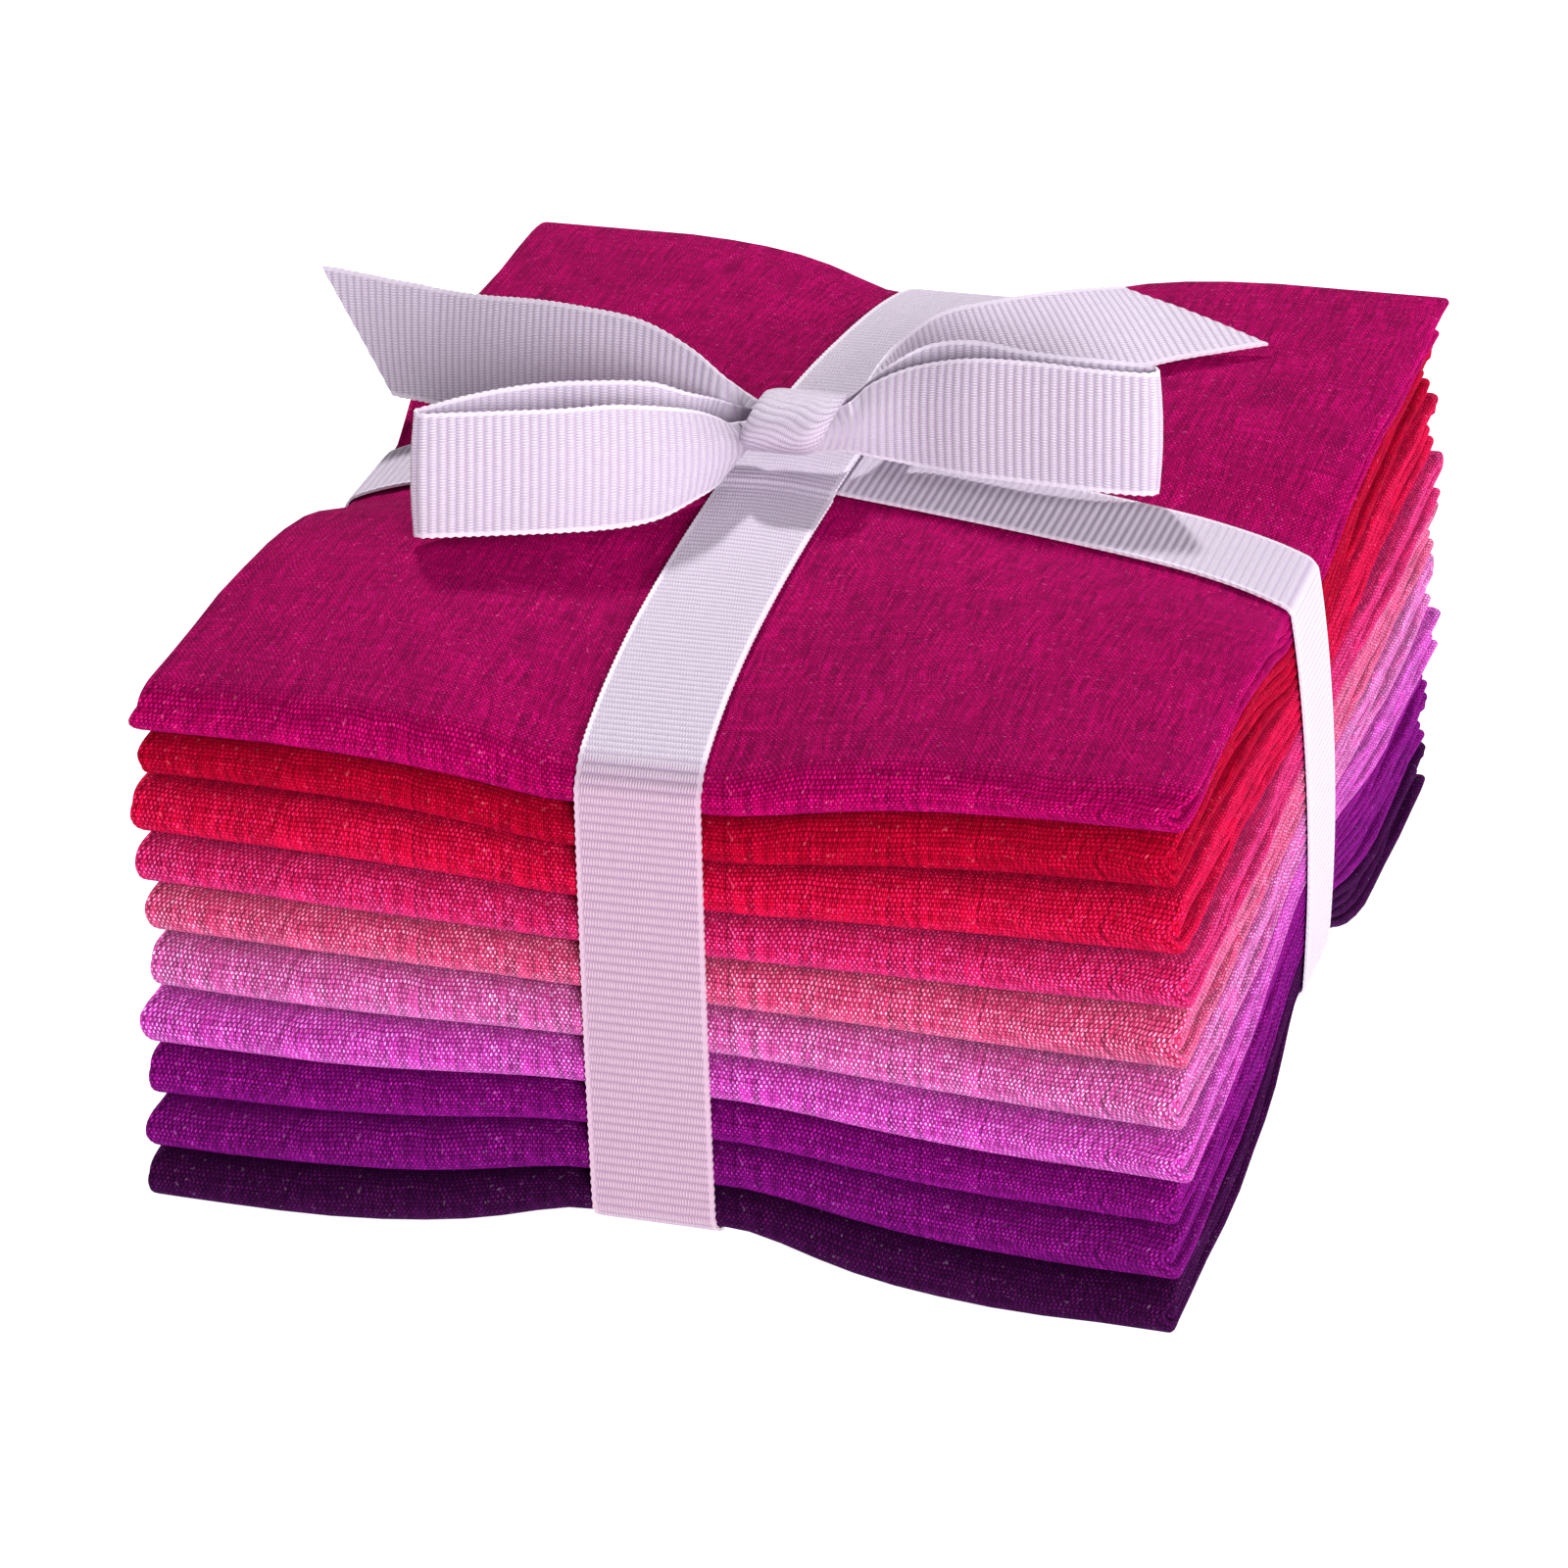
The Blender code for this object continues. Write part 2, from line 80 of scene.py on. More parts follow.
# From the bottom up: node, height at the left and right end, and how far each side is set back (front, left,
# right)
FABRIC_COLUMNS = ("node", "left_height", "right_height", "front", "left", "right")
FABRICS = [
    ("fat_quarter_01_aubergine", 6.2, 6.1, 0.3, 0.0, 0.9),
    ("fat_quarter_02_plum", 6.4, 6.7, 0.5, 0.1, 1.0),
    ("fat_quarter_03_violet", 6.4, 5.4, 0.8, 0.4, 0.9),
    ("fat_quarter_04_orchid", 7.3, 5.7, 0.2, 0.1, 0.0),
    ("fat_quarter_05_pink", 6.7, 6.9, 0.6, 1.2, 0.8),
    ("fat_quarter_06_coral", 6.1, 7.3, 0.9, 0.9, 0.9),
    ("fat_quarter_07_rose", 6.2, 6.2, 0.4, 0.2, 0.3),
    ("fat_quarter_08_red", 6.8, 7.2, 0.2, 0.0, 1.4),
    ("fat_quarter_09_crimson", 5.6, 7.3, 0.8, 0.9, 2.2),
    ("fat_quarter_10_magenta", 7.1, 6.0, 0.0, 0.1, 0.6),
]
STACK_HEIGHT = len(FABRICS) * FOLDED_HEIGHT
LAYER_SET_BACK = (0.1, 0.6, 0.5, 0.0)
TOP_SET_BACK = (1.0, 1.7, 1.5, 0.0)

# Each cloth's threads, the long ones and the cross ones, in linear colour, and how strongly its weave shows
THREADS = {
    "fat_quarter_01_aubergine": ((0.024, 0.0015, 0.026), (0.075, 0.005, 0.072), 0.6),
    "fat_quarter_02_plum": ((0.110, 0.002, 0.095), (0.310, 0.010, 0.260), 0.8),
    "fat_quarter_03_violet": ((0.135, 0.002, 0.110), (0.380, 0.012, 0.300), 0.8),
    "fat_quarter_04_orchid": ((0.520, 0.020, 0.360), (1.000, 0.260, 0.800), 1.0),
    "fat_quarter_05_pink": ((0.620, 0.045, 0.300), (1.000, 0.400, 0.740), 1.0),
    "fat_quarter_06_coral": ((0.640, 0.025, 0.130), (1.000, 0.300, 0.480), 1.0),
    "fat_quarter_07_rose": ((0.560, 0.003, 0.070), (1.000, 0.085, 0.320), 1.0),
    "fat_quarter_08_red": ((0.500, 0.001, 0.025), (0.850, 0.016, 0.110), 0.9),
    "fat_quarter_09_crimson": ((0.330, 0.0005, 0.014), (0.520, 0.003, 0.045), 0.7),
    "fat_quarter_10_magenta": ((0.300, 0.0005, 0.064), (0.600, 0.004, 0.165), 0.8),
}
THREAD, LONG_THREAD = 0.25, 0.39

# The ribbon, and how its two lines pinch the stack: in the middle and at the four edges
RIBBON_WIDTH = 13.5
RIBBON = 0.36
RIBBON_LIFT = 0.42
WALL_LIFT = {"front": 0.72, "back": 1.0, "left": 0.32, "right": 0.32}
CROSSING_RISE = 0.62
RIB = 1.0
RIB_DEPTH = 0.06
RIB_STEPS = 5
SELVAGE = 0.5
TOP_DIP = {"centre": 2.0, "front": 4.8, "back": 5.1, "left": 5.8, "right": 3.8}
BASE_LIFT = {"centre": 3.8, "front": 5.2, "back": 5.0, "left": 5.0, "right": 6.4}
DRAW_IN = {"front": 0.8, "back": 0.9, "left": 2.8, "right": 1.8}
PINCH_FLAT = 7.6
PINCH_REACH = {"base": 12.4, "top": 10.2}
PINCH_SPREAD = 8.5
PINCH_FLOOR = 0.125
LONG_TOP_MIDDLE, LONG_TOP_EDGE = -5.0, -1.5
CROSS_TOP = {"left": 1.0, "centre": 5.5, "right": -9.0}
CROSS_BASE = {"left": 0.0, "centre": 3.0, "right": 6.0}
BEND_FLAT, BEND_REACH = 8.0, 42.0

# The bow, as in part.py but with its ends run on into the knot: the ribbon's width at one place after
# another, from the knot outwards, and for a loop back again. Each row has the lower edge's x, y and height
# over the cloth, the width, the lean back from upright, and the lean's turn to the left, in degrees. The
# tails are cut off along the lines below them.
LEFT_LOOP = [
    (-7.4, -0.9, 4.2, 3.0, 26, 15),
    (-10.1, -1.8, 3.4, 3.6, 26, 15),
    (-10.2, -5.2, 2.7, 5.4, 26, 15),
    (-10.8, -8.4, 2.1, 7.8, 26, 15),
    (-12.2, -12.2, 1.9, 10.0, 26, 15),
    (-14.8, -16.4, 1.2, 12.3, 26, 15),
    (-18.6, -20.2, 0.8, 13.5, 26, 15),
    (-23.8, -24.2, 0.8, 13.5, 26, 15),
    (-30.0, -27.4, 0.8, 13.5, 26, 15),
    (-36.2, -30.0, 0.8, 13.5, 26, 15),
    (-38.0, -30.2, 0.8, 13.5, 26, 15),
    (-38.5, -29.2, 0.8, 13.5, 26, 15),
    (-37.6, -27.8, 0.8, 13.5, 26, 15),
    (-33.4, -22.2, 0.8, 13.5, 26, 15),
    (-28.2, -17.2, 0.8, 13.5, 26, 15),
    (-22.6, -13.8, 0.8, 13.4, 26, 15),
    (-17.6, -10.6, 0.9, 12.8, 26, 15),
    (-14.2, -6.8, 1.8, 9.8, 26, 15),
    (-12.8, -2.8, 2.8, 7.0, 26, 15),
    (-11.6, 0.4, 3.6, 4.6, 26, 15),
    (-7.6, 0.9, 4.3, 3.0, 26, 15),
]
RIGHT_LOOP = [
    (-1.6, -0.6, 3.9, 4.4, 26, 15),
    (1.6, 1.6, 3.4, 5.4, 26, 15),
    (4.2, 2.4, 2.7, 8.2, 26, 15),
    (9.0, 2.6, 2.1, 11.0, 26, 15),
    (15.6, 1.2, 2.1, 13.0, 26, 15),
    (22.6, 0.9, 2.1, 13.5, 26, 15),
    (29.4, 1.0, 2.0, 13.5, 26, 15),
    (34.6, 1.9, 1.8, 13.5, 26, 15),
    (36.3, 2.9, 1.7, 13.5, 26, 15),
    (36.2, 4.2, 1.6, 13.5, 26, 15),
    (34.6, 4.6, 1.8, 13.5, 26, 15),
    (28.8, 3.6, 2.1, 13.5, 26, 15),
    (22.0, 3.8, 2.1, 13.5, 26, 15),
    (15.0, 5.2, 2.1, 13.5, 26, 15),
    (9.4, 6.2, 2.1, 12.0, 26, 15),
    (4.8, 5.6, 2.8, 8.6, 26, 15),
    (1.7, 4.0, 3.4, 5.6, 26, 15),
    (-1.4, 2.0, 4.1, 3.6, 26, 15),
]
LEFT_TAIL = [
    (-7.6, 2.6, 4.4, 2.8, 26, 15),
    (-10.6, 3.6, 3.9, 4.4, 26, 15),
    (-13.0, 2.4, 3.0, 7.4, 26, 15),
    (-17.0, 2.8, 2.2, 10.8, 26, 15),
    (-23.0, 4.2, 2.1, 13.0, 26, 15),
    (-30.5, 6.2, 2.1, 13.5, 26, 15),
    (-39.5, 9.4, 2.0, 13.5, 26, 15),
    (-48.5, 13.2, 1.4, 13.5, 27, 16),
    (-52.1, 14.9, 1.2, 13.5, 24.4, 20.5),
    (-56.2, 16.8, 1.0, 13.6, 21.6, 26.6),
    (-60.2, 18.7, 1.2, 13.7, 19.2, 34.2),
    (-64.4, 20.6, 2.4, 13.9, 17.1, 43.8),
    (-66.5, 21.7, 3.7, 14.0, 16.3, 49.5),
]
LEFT_CUT = (-56.6, 17.0, 1.0, 17.7, 45, 58)
RIGHT_TAIL = [
    (-1.0, 4.0, 4.4, 2.6, 28, 15),
    (1.7, 6.8, 4.0, 4.4, 30, 15),
    (3.4, 10.4, 2.9, 7.6, 34, 18),
    (5.6, 14.4, 1.2, 10.6, 38, 24),
    (10.4, 18.6, 0.8, 13.0, 43, 32),
    (17.6, 24.8, 0.8, 13.5, 53, 40),
    (24.0, 31.4, 0.8, 13.5, 62, 40),
    (30.0, 37.6, 0.8, 13.6, 71, 39),
    (35.0, 41.4, 0.8, 13.5, 73, 39),
    (40.0, 45.2, 0.8, 13.5, 75, 39),
    (43.2, 47.6, 0.8, 13.5, 76, 39),
]
RIGHT_CUT = (40.0, 45.2, 0.8, 18.7, 77, 82)
KNOT_CENTRE = np.array((-4.4, 0.4, 68.8))
KNOT_HALF_LENGTH, KNOT_HALF_DEPTH, KNOT_HALF_HEIGHT = 4.6, 5.4, 2.9
KNOT_SLANT = 20.0

# Where the stack stands in the frame
knot_low, knot_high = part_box("bow_knot")
SHIFT = KNOT_CENTRE * MM - np.array((knot_low + knot_high) / 2)

# The camera, round the stack's middle
CAMERA_AZIMUTH, CAMERA_ELEVATION, CAMERA_DISTANCE = 15.516, 25.821, 0.78
CAMERA_SIDE, CAMERA_HEIGHT = -0.005, 0.025
FOCAL_PIXELS, PHOTO_PIXELS = 7027.6, 1600
SENSOR = 36.0


def blended(low, high, share):
    return low + (high - low) * share


def wander(x, key):
    """A slow uneven wave along x in mm, from about -1 to 1. Another key gives another wave."""
    slow = np.sin(x / 12.1 + 2.4 * key)
    middling = 0.7 * np.sin(x / 5.7 + 4.1 * key)
    quick = 0.4 * np.sin(x / 2.9 + 7.7 * key)
    return (slow + middling + quick) / 1.8


def beside(distance, level):
    """How much of the pinch is felt at a distance from a ribbon's line: 1 under it, 0 far away."""
    reach = blended(PINCH_REACH["base"], PINCH_REACH["top"], level)
    spread = reach + PINCH_SPREAD * (1 - (2 * level - 1) ** 2)
    steps = np.maximum(0.0, np.abs(distance) - PINCH_FLAT) / spread
    share = 1 / (1 + steps * steps)
    return np.maximum(0.0, (share - PINCH_FLOOR) / (1 - PINCH_FLOOR))


def towards_edge(table, position, half, low_side, high_side):
    side = np.where(position > 0, table[high_side], table[low_side])
    return blended(table["centre"], side, np.minimum(1.0, np.abs(position) / half) ** 3)


def pinched(table, u, v, level):
    """The depth of the pinch, from the two ribbon lines together."""
    long_depth = towards_edge(table, v, HALF_DEPTH, "front", "back")
    cross_depth = towards_edge(table, u, HALF_WIDTH, "left", "right")
    long_part = long_depth * beside(u, level)
    cross_part = cross_depth * beside(v, level)
    return long_part + cross_part - long_part * cross_part / np.maximum(long_depth, cross_depth)


def bend_share(distance):
    """A line bends with its ribbon near it, and not at all at the far edges."""
    return 1 - np.clip((np.abs(distance) - BEND_FLAT) / (BEND_REACH - BEND_FLAT), 0.0, 1.0)


def ribbon_line_x(v, level):
    on_top = blended(LONG_TOP_MIDDLE, LONG_TOP_EDGE, np.minimum(1.0, np.abs(v) / HALF_DEPTH) ** 2)
    return on_top * level


def ribbon_line_y(u, level):
    share = np.minimum(1.0, np.abs(u) / HALF_WIDTH)
    on_top = blended(CROSS_TOP["centre"], np.where(u > 0, CROSS_TOP["right"], CROSS_TOP["left"]), share)
    on_base = blended(CROSS_BASE["centre"], np.where(u > 0, CROSS_BASE["right"], CROSS_BASE["left"]), share)
    return blended(on_base, on_top, level)


def place(u, v, h):
    """Points of the tied stack in the frame, in metres, for points of the stack before it is tied."""
    level = np.clip(h / STACK_HEIGHT, 0.0, 1.0)
    x = u + ribbon_line_x(v, level) * bend_share(u)
    y = v + ribbon_line_y(u, level) * bend_share(v)
    outer = 0.35 + 0.65 * (2 * level - 1) ** 2
    draw_x = np.where(u > 0, DRAW_IN["right"], DRAW_IN["left"])
    draw_y = np.where(v > 0, DRAW_IN["back"], DRAW_IN["front"])
    x = x - np.sign(u) * draw_x * beside(v, level) * outer * np.minimum(1.2, np.abs(u) / HALF_WIDTH) ** 4
    y = y - np.sign(v) * draw_y * beside(u, level) * outer * np.minimum(1.2, np.abs(v) / HALF_DEPTH) ** 4
    droop = EDGE_DROOP * np.maximum((np.abs(u) / HALF_WIDTH) ** 10, (np.abs(v) / HALF_DEPTH) ** 10) * level**8
    height = h * (1 - LEFT_LOWER * (HALF_WIDTH - u) / CLOTH_WIDTH)
    z = height - pinched(TOP_DIP, u, v, level) * level + pinched(BASE_LIFT, u, v, level) * (1 - level) - droop
    return np.stack(np.broadcast_arrays(x, y, z), -1) * MM - SHIFT


def top_height(x, y):
    """The height of the tied stack's top over points of the stack, in mm."""
    u, v = np.array(x, float), np.array(y, float)
    for _ in range(4):
        reached = (place(u, v, np.full_like(u, STACK_HEIGHT)) + SHIFT) / MM
        u = u + x - reached[..., 0]
        v = v + y - reached[..., 1]
    return reached[..., 2]


def grid_mesh(name, outer, inner, facts, closed=False):
    """A closed sheet between two like grids of points. `facts` is each point's place in the flat cloth, and
    for a ribbon how much painted front shade it takes.
    """
    rows, columns = outer.shape[:2]
    shift = rows * columns
    points = np.concatenate((outer.reshape(-1, 3), inner.reshape(-1, 3)))
    i = np.arange(rows if closed else rows - 1)[:, None]
    j = np.arange(columns - 1)[None, :]
    following = (i + 1) % rows
    a, b = i * columns + j, i * columns + j + 1
    c, d = following * columns + j + 1, following * columns + j
    face = np.stack((a, b, c, d), -1).reshape(-1, 4)
    quads = [face, face[:, ::-1] + shift]
    start, end = i[:, 0] * columns, following[:, 0] * columns
    quads.append(np.stack((start, end, end + shift, start + shift), -1))
    start, end = start + columns - 1, end + columns - 1
    quads.append(np.stack((start, start + shift, end + shift, end), -1))
    if not closed:
        start = np.arange(columns - 1)
        quads.append(np.stack((start, start + shift, start + 1 + shift, start + 1), -1))
        start = start + (rows - 1) * columns
        quads.append(np.stack((start, start + 1, start + 1 + shift, start + shift), -1))
    quads = np.concatenate(quads)
    mesh = bpy.data.meshes.new(name)
    mesh.vertices.add(len(points))
    mesh.vertices.foreach_set("co", points.ravel())
    mesh.loops.add(quads.size)
    mesh.loops.foreach_set("vertex_index", quads.ravel())
    mesh.polygons.add(len(quads))
    mesh.polygons.foreach_set("loop_start", np.arange(len(quads)) * 4)
    mesh.update(calc_edges=True)
    mesh.validate()
    if signed_volume(points, quads) < 0:
        mesh.flip_normals()
    flat = mesh.attributes.new("flat", "FLOAT_VECTOR", "POINT")
    facts = np.broadcast_to(facts, outer.shape).reshape(-1, 3)
    flat.data.foreach_set("vector", np.concatenate((facts, facts)).ravel().astype(np.float32))
    mesh.shade_smooth()
    mesh.set_sharp_from_angle(angle=math.radians(60))
    thing = bpy.data.objects.new(name, mesh)
    bpy.context.scene.collection.objects.link(thing)
    return thing


def signed_volume(points, quads):
    a, b, c, d = (points[quads[:, k]] for k in range(4))
    return np.sum(a * np.cross(b, c)) + np.sum(a * np.cross(c, d))


def arc(centre, radius, start, end, segments):
    """Rows (place, height, way out) of an arc in degrees, ends left out."""
    angles = np.radians(np.linspace(start, end, segments + 1))[1:-1]
    ways = np.stack((np.cos(angles), np.sin(angles)), -1)
    return np.concatenate((np.array(centre) + radius * ways, ways), -1)


def nose(edge, low, high, corner, lean, segments):
    """Rows of a flattened fold from low round to high, its furthest point at edge on the low side.

    Its two corners have the radius corner and turn all but lean degrees of a quarter; the front between them
    is nearly flat.
    """
    flat_angle = math.radians(lean)
    face_radius = ((high - low) / 2 - corner * (1 - math.sin(flat_angle))) / math.sin(flat_angle)
    depth = corner * math.cos(flat_angle) + face_radius * (1 - math.cos(flat_angle))
    middle = (low + high) / 2
    start = edge + depth
    rows = [arc((start, low + corner), corner, -90, -180 + lean, segments)]
    face = arc((edge + face_radius, middle), face_radius, -180 + lean, -180 - lean, segments)
    rows += [face, arc((start, high - corner), corner, -180 - lean, -270, segments)]
    joints = arc((start, low + corner), corner, -90, -90 - 2 * (90 - lean), 2)
    tops = arc((start, high - corner), corner, -180 - lean - (90 - lean), -180 - lean + (90 - lean), 2)
    joints[0, :2] = (start - corner * math.cos(flat_angle), low + corner - corner * math.sin(flat_angle))
    joints[0, 2:] = (-math.cos(flat_angle), -math.sin(flat_angle))
    tops[0, :2] = (start - corner * math.cos(flat_angle), high - corner + corner * math.sin(flat_angle))
    tops[0, 2:] = (-math.cos(flat_angle), math.sin(flat_angle))
    return start, np.concatenate((rows[0], joints, rows[1], tops, rows[2]))


def straight(places, height, way):
    places = np.asarray(places, float)
    columns = (places, np.full_like(places, height), np.zeros_like(places), np.full_like(places, way))
    return np.stack(columns, -1)


def four_fold(half, stations, step, corner, lean, face_segments, turn_segments, low_ends):
    """The back-and-forth section of four plies: rows (place, height, way out), and each row's ply.

    It runs from its free end at +half along the lowest ply, round the big fold at -half to the top ply, back
    to the turn at +half, and forward and back again inside. Heights are from the middle. low_ends are how far
    the two free ends stop short.
    """
    heights = (np.arange(LAYERS) - 1.5) * step
    start, big = nose(-half, heights[0], heights[3], corner, lean, face_segments)
    inner_radius = step / 2
    stations = np.array([s for s in stations if s > start + 0.8 and s < half - 1.2])
    turn_at = half - inner_radius
    forward = np.concatenate(([start], stations))
    parts = [straight(np.concatenate((forward, [half - low_ends[0]]))[::-1], heights[0], -1.0)]
    plies = [np.zeros(len(parts[0]))]
    parts.append(big)
    plies.append(3 * (big[:, 1] - heights[0]) / (heights[3] - heights[0]))
    parts.append(straight(np.concatenate((forward, [turn_at])), heights[3], 1.0))
    plies.append(np.full(len(parts[-1]), 3.0))
    parts.append(arc((turn_at, (heights[2] + heights[3]) / 2), inner_radius, 90, -90, turn_segments))
    plies.append(np.full(len(parts[-1]), 2.5))
    parts.append(straight(np.concatenate((forward, [turn_at]))[::-1], heights[2], -1.0))
    plies.append(np.full(len(parts[-1]), 2.0))
    inside = arc((start, 0.0), inner_radius, 90, 270, turn_segments)
    inside[:, 2:] *= -1
    parts.append(inside)
    plies.append(np.full(len(parts[-1]), 1.5))
    parts.append(straight(np.concatenate((forward, [half - low_ends[1]])), heights[1], 1.0))
    plies.append(np.full(len(parts[-1]), 1.0))
    rows = np.concatenate(parts)
    steps = np.linalg.norm(np.diff(rows[:, :2], axis=0), axis=1)
    return rows, np.concatenate(plies), np.concatenate(([0.0], np.cumsum(steps)))


def band_heights(u, v):
    """The height of each folded fat quarter at points of the stack, uneven but adding up to the stack's."""
    across = (u + HALF_WIDTH) / CLOTH_WIDTH
    heights = []
    for key, row in enumerate(fabrics):
        over_width = 0.035 * wander(u * 0.55 + v * 0.2, key + 0.3)
        over_depth = 0.03 * wander(v * 0.6 - u * 0.15, key + 5.7)
        uneven = 1 + over_width + over_depth
        heights.append(blended(row["left_height"], row["right_height"], across) * uneven)
    heights = np.stack(heights)
    return heights * (STACK_HEIGHT / heights.sum(0))


def end_share(distance):
    """0 in the middle of the stack and 1 at its edge, for moving an end without its middle."""
    share = np.clip((distance - 22.0) / 30.0, 0.0, 1.0)
    return share * share * (3 - 2 * share)


def set_back(table, layer):
    return np.interp(layer, np.arange(LAYERS), table)


def ragged_edge(v, layer, key):
    """Each layer's end wanders by itself, and where a fold joins two layers it goes from one to the other."""
    lower = np.clip(np.floor(layer), 0, LAYERS - 2)
    return blended(wander(v, key * 4 + lower), wander(v, key * 4 + lower + 1), layer - lower)


# Stations in u and v, closer where the ribbon pinches the stack
ACROSS = [-54, -49, -43, -37, -31, -26, -21.5, -17.5, -13.5, -10, -7, 0, 7, 10, 13.5, 17.5, 21.5, 26]
ACROSS += [31, 37, 43, 49, 54]
ALONG = [-66, -61, -53, -45, -38, -31, -26, -21, -17, -13, -10, -7, 0, 7, 10, 13, 17, 21, 26]
ALONG += [31, 38, 45, 53, 61, 66, 68]


def fat_quarter(key):
    """One fat quarter: the cloth folded in four across, and that folded in four along, as one sheet."""
    row = fabrics[key]
    is_top = key == len(fabrics) - 1
    along, layer, q = four_fold(HALF_DEPTH, ALONG, LAYER_STEP, FOLD_CORNER, FOLD_LEAN, 5, 6, (0.9, 2.1))
    mirrored = [-u for u in reversed(ACROSS)]
    across, _, p = four_fold(HALF_WIDTH, mirrored, PLY_STEP, PLY_CORNER, PLY_LEAN, 4, 5, (0.5, 1.3))
    across = across * (-1, 1, -1, 1)
    v, h, way_v, way_h = (column[:, None] for column in along.T)
    h = h + FOLDED_HEIGHT / 2
    u, t, way_u, way_t = (column[None, :] for column in across.T)
    table = TOP_SET_BACK if is_top else LAYER_SET_BACK
    layer = layer[:, None]
    ragged = 0.34 * ragged_edge(v, layer, key)
    level = (key + 0.5) / len(fabrics)
    under_ribbon = beside(v, level)
    right = blended(row["right"] + set_back(table, layer) + ragged, FLUSH["right"], under_ribbon)
    left = blended(row["left"] + 0.5 * set_back(table, 3 - layer) - ragged, FLUSH["left"], under_ribbon)
    front = blended(row["front"] + 0.25 * wander(u, key * 3 + 1.3), FLUSH["front"], beside(u, level))
    depth, furthest = LEFT_ROUND_TOP if is_top else LEFT_ROUND
    from_front = np.clip(1 - (v + HALF_DEPTH) / RIGHT_CORNER, 0.0, 1.0)
    right = right + RIGHT_CORNER * (1 - np.sqrt(1 - 0.98 * from_front**2))
    grids = []
    for side in (0.5, -0.5):
        reach = t + way_t * CLOTH * side
        flat_u = u + way_u * CLOTH * side
        share = (h + way_h * reach) / FOLDED_HEIGHT
        off_middle = (share - furthest) / np.where(share > furthest, 1 - furthest, furthest)
        rounding = depth * (1 - np.sqrt(1 - 0.96 * np.clip(off_middle, -1.0, 1.0) ** 2))
        rounding = rounding * (1 - 0.85 * under_ribbon)
        at_u = flat_u - right * end_share(flat_u) + (left + rounding) * end_share(-flat_u)
        flat_v = v + way_v * reach
        at_v = flat_v + front * end_share(-flat_v)
        at_u, at_v, share = np.broadcast_arrays(at_u, at_v, share)
        heights = band_heights(at_u, at_v)
        lift = heights[:key].sum(0)
        share = share + 0.02 * np.sin(math.pi * share) * wander(at_v * 0.8 + at_u * 0.3, key + 9.1)
        share = blended(0.5, share, SQUEEZE)
        grids.append(place(at_u, at_v, lift + share * heights[key]))
    facts = np.stack(np.broadcast_arrays(p[None, :], q[:, None], 0.0), -1)
    return grid_mesh("cloth_" + row["node"][12:], *grids, facts)


def resampled(rows, points, step):
    """The rows at even steps of about `step` mm along their points, and the lengths reached."""
    lengths = np.concatenate(([0.0], np.cumsum(np.linalg.norm(np.diff(points, axis=0), axis=1))))
    count = int(round(lengths[-1] / (step * RIB_STEPS))) * RIB_STEPS
    at = np.linspace(0.0, lengths[-1], count + 1)
    return np.stack([np.interp(at, lengths, column) for column in rows.T], -1), at


def ribbon_profile():
    """Places across the ribbon from its middle, and how much of the ribs shows at each."""
    half = RIBBON_WIDTH / 2
    inside = half - SELVAGE
    low_side = [-half, -half + 0.3, -inside, -inside * 0.62, -inside * 0.25]
    high_side = [inside * 0.25, inside * 0.62, inside, half - 0.3, half]
    places = np.array(low_side + high_side)
    ribbed = np.where(np.abs(places) < inside + 0.01, 1.0, 0.5)
    ribbed[np.abs(places) > half - 0.01] = -0.4
    return places, ribbed


def wrap_path(half, radii):
    """The ribbon's way round the stack's section: rows of position, height and way outwards, closed.

    radii are those of the corners: top and base at the low side, then base and top at the high side.
    """
    top, base = STACK_HEIGHT - 0.1, 0.1
    top_low, base_low, base_high, top_high = radii
    rows = [straight(np.linspace(0.0, -half + top_low, 300), top, 1.0)]
    rows.append(arc((-half + top_low, top - top_low), top_low, 90, 180, 12))
    sides = np.linspace(top - top_low, base + base_low, 200)
    rows.append(np.stack((np.full(200, -half), sides, np.full(200, -1.0), np.zeros(200)), -1))
    rows.append(arc((-half + base_low, base + base_low), base_low, 180, 270, 12))
    rows.append(straight(np.linspace(-half + base_low, half - base_high, 600), base, -1.0))
    rows.append(arc((half - base_high, base + base_high), base_high, -90, 0, 12))
    sides = np.linspace(base + base_high, top - top_high, 200)
    rows.append(np.stack((np.full(200, half), sides, np.full(200, 1.0), np.zeros(200)), -1))
    rows.append(arc((half - top_high, top - top_high), top_high, 0, 90, 12))
    rows.append(straight(np.linspace(half - top_high, 0.0, 300), top, 1.0))
    return np.concatenate(rows)


